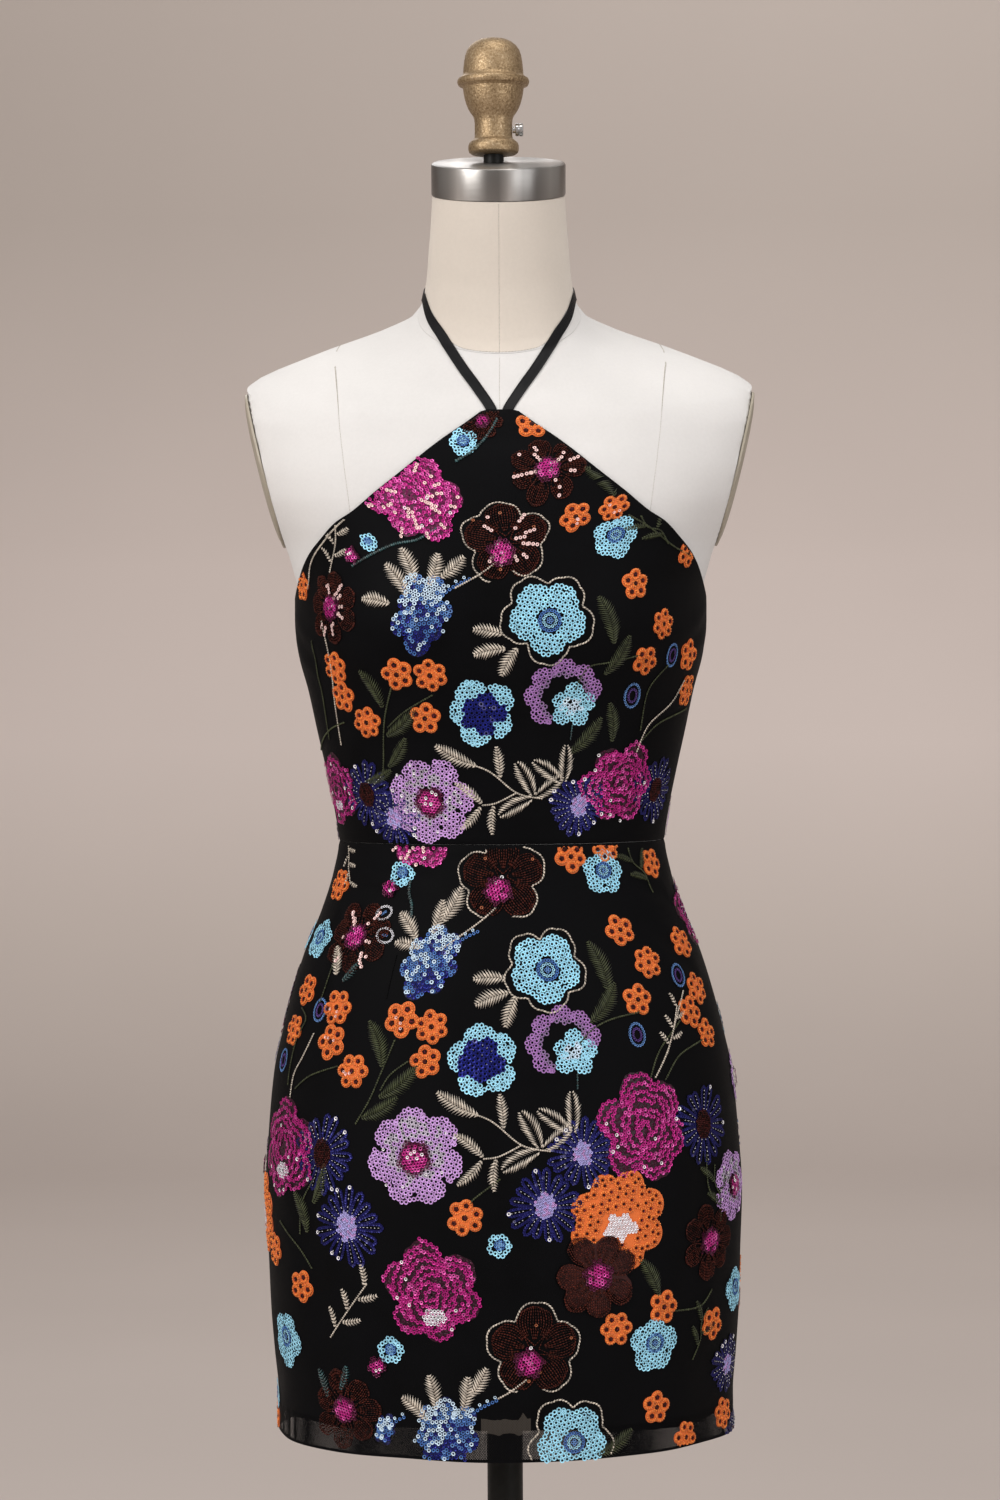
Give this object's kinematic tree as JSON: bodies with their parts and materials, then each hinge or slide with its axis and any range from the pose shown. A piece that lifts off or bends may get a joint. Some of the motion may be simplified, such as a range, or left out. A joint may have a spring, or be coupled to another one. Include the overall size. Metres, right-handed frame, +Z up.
{
  "type": "short halter cocktail dress on a limbless dress form",
  "caption": "Short fitted halter dress with flower embroidery and a centre-back zip, worn by a limbless dress form with a neck cap and finial on a pole and round base.",
  "frame": {"origin": "on the floor, at the middle of the base and under the pole", "axes": "+Z up; the front of the dress faces -Y; +X is to the right of someone who looks at the front"},
  "size_m": [0.4, 0.4, 1.6418],
  "materials": {
    "embroidered_cloth": "black mesh over satin with sequin and thread flowers",
    "lining": "matt black lining",
    "satin_ribbon": "black satin ribbon",
    "zip_tape": "black zip tape",
    "steel": "nickel-plated small metal",
    "canvas": "off-white canvas cover",
    "jersey": "cream cloth cover",
    "arm_plate": "satin beige-grey paint",
    "brushed_cap": "brushed",
    "bronze": "aged cast bronze",
    "black_paint": "satin black paint"
  },
  "bodies": {
    "dress_and_form": {"bodice_front": "embroidered_cloth", "bodice_back_left": "embroidered_cloth", "bodice_back_right": "embroidered_cloth", "skirt_front": "embroidered_cloth", "skirt_back_left": "embroidered_cloth", "skirt_back_right": "embroidered_cloth", "skirt_lining": "lining", "strap_left": "satin_ribbon", "strap_right": "satin_ribbon", "zip_chain": "zip_tape", "zip_slider": "steel", "neck_hook": "steel", "neck_eye": "steel", "form_torso": "canvas", "form_neck": "jersey", "arm_plate_left": "arm_plate", "arm_plate_right": "arm_plate", "neck_cap": "brushed_cap", "finial": "bronze", "finial_rod": "black_paint", "finial_screw": "steel", "pole": "black_paint", "pole_collar": "black_paint", "base": "black_paint"},
    "zip_pull": {"zip_pull": "steel"}
  },
  "joints": [
    {"name": "zip_pull_swing", "type": "hinge", "parent": "dress_and_form", "child": "zip_pull", "pos_m": [0, 0.11319, 1.18781], "axis": [1, 0, 0], "range_deg": [0, 150]}
  ]
}
